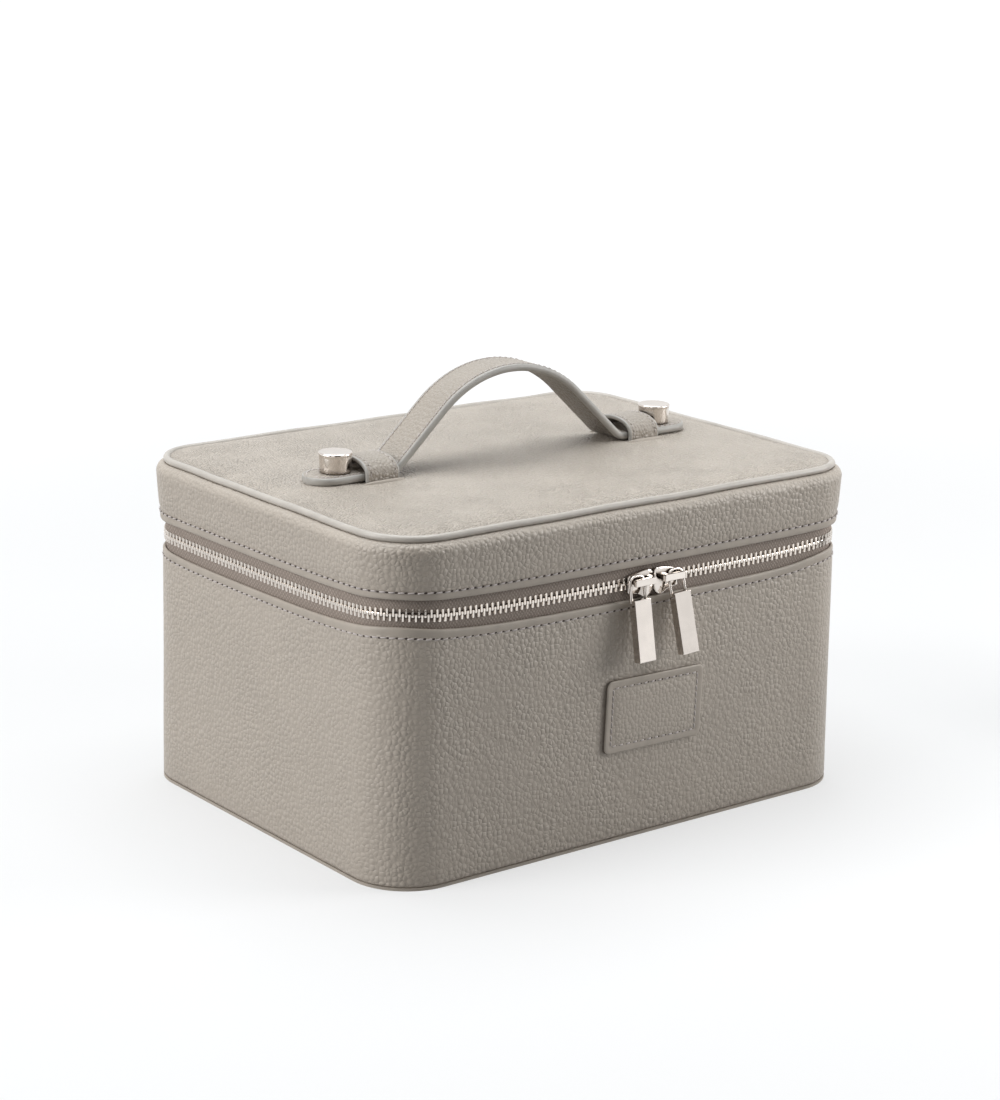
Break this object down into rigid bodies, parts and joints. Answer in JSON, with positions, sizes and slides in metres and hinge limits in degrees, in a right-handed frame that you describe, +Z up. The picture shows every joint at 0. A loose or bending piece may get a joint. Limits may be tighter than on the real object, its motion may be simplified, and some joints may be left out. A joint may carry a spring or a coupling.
{
  "type": "make-up storage case",
  "caption": "Rounded leather box case with a zip-around hinged lid, two zip pulls, a plain front patch and an arched strap handle that slides in two keepers.",
  "frame": {"origin": "centre of the underside, on the surface the case stands on", "axes": "+Z up, +X along the case's length, and -Y towards the side with the zip pulls and the patch"},
  "size_m": [0.2526, 0.2037, 0.1867],
  "materials": {
    "taupe_leather": "pebbled, satin",
    "backing_leather": "smooth, matt",
    "piping": "smooth, painted",
    "zip_tape": "woven",
    "lining": "woven",
    "board": "matt",
    "foam": "matt",
    "bright_nickel": "polished",
    "plain_steel": "satin"
  },
  "bodies": {
    "base": {"bottom_cover": "taupe_leather", "bottom_board": "board", "base_skin": "taupe_leather", "base_wall_board": "board", "base_lining": "lining", "front_patch": "taupe_leather", "base_zip_tape": "zip_tape", "base_zip_teeth": "bright_nickel", "base_zip_stops": "bright_nickel", "hinge_strip": "taupe_leather", "hinge_lining": "lining"},
    "lid": {"lid_skin": "taupe_leather", "lid_wall_board": "board", "lid_top_board": "board", "lid_padding": "foam", "lid_top_panel": "taupe_leather", "lid_piping": "piping", "lid_lining": "lining", "lid_zip_tape": "zip_tape", "lid_zip_teeth": "bright_nickel", "lid_zip_stops": "bright_nickel", "left_keeper": "taupe_leather", "right_keeper": "taupe_leather", "keeper_anchor_plates": "plain_steel", "keeper_rivets": "plain_steel"},
    "left_slider": {"left_slider_body": "bright_nickel", "left_slider_bridge": "bright_nickel"},
    "right_slider": {"right_slider_body": "bright_nickel", "right_slider_bridge": "bright_nickel"},
    "left_pull": {"left_pull_loop": "bright_nickel", "left_pull_bar": "bright_nickel"},
    "right_pull": {"right_pull_loop": "bright_nickel", "right_pull_bar": "bright_nickel"},
    "handle_left_end": {"left_strap_tab": "taupe_leather", "left_stud_cap": "bright_nickel", "left_stud_screw": "plain_steel"},
    "handle_grip": {"grip_inner_leather": "backing_leather", "grip_outer_leather": "taupe_leather"},
    "handle_right_end": {"right_strap_tab": "taupe_leather", "right_stud_cap": "bright_nickel", "right_stud_screw": "plain_steel"}
  },
  "joints": [
    {"name": "lid_hinge", "type": "hinge", "parent": "base", "child": "lid", "pos_m": [0, 0.097, 0.11], "axis": [-1, 0, 0], "range_deg": [0, 180], "deforming": ["hinge_strip", "hinge_lining"]},
    {"name": "zip_left_slide", "type": "slide", "parent": "base", "child": "left_slider", "axis": [-1, 0, 0], "range_m": [0, 0.0914], "deforming": ["base_zip_teeth", "lid_zip_teeth"]},
    {"name": "zip_right_slide", "type": "slide", "parent": "base", "child": "right_slider", "axis": [1, 0, 0], "range_m": [0, 0.0786], "deforming": ["base_zip_teeth", "lid_zip_teeth"]},
    {"name": "left_pull_swing", "type": "hinge", "parent": "left_slider", "child": "left_pull", "pos_m": [-0.00575, -0.097, 0.1116], "axis": [0, 1, 0], "range_deg": [-8, 98]},
    {"name": "right_pull_swing", "type": "hinge", "parent": "right_slider", "child": "right_pull", "pos_m": [0.01855, -0.097, 0.1116], "axis": [0, -1, 0], "range_deg": [-9, 92]},
    {"name": "handle_slide", "type": "slide", "parent": "lid", "child": "handle_left_end", "axis": [-1, 0, 0], "range_m": [0, 0.0125]},
    {"name": "grip_drop", "type": "slide", "parent": "handle_left_end", "child": "handle_grip", "axis": [0.3155, 0, -0.9489], "range_m": [0, 0.0397], "deforming": ["grip_inner_leather", "grip_outer_leather"]},
    {"name": "handle_right_slide", "type": "slide", "parent": "handle_grip", "child": "handle_right_end", "axis": [0.3155, 0, 0.9489], "range_m": [0, 0.0397]}
  ],
  "couplings": [
    {"joint": "grip_drop", "follows": "handle_slide", "ratio": 3.1699},
    {"joint": "handle_right_slide", "follows": "handle_slide", "ratio": 3.1699}
  ]
}
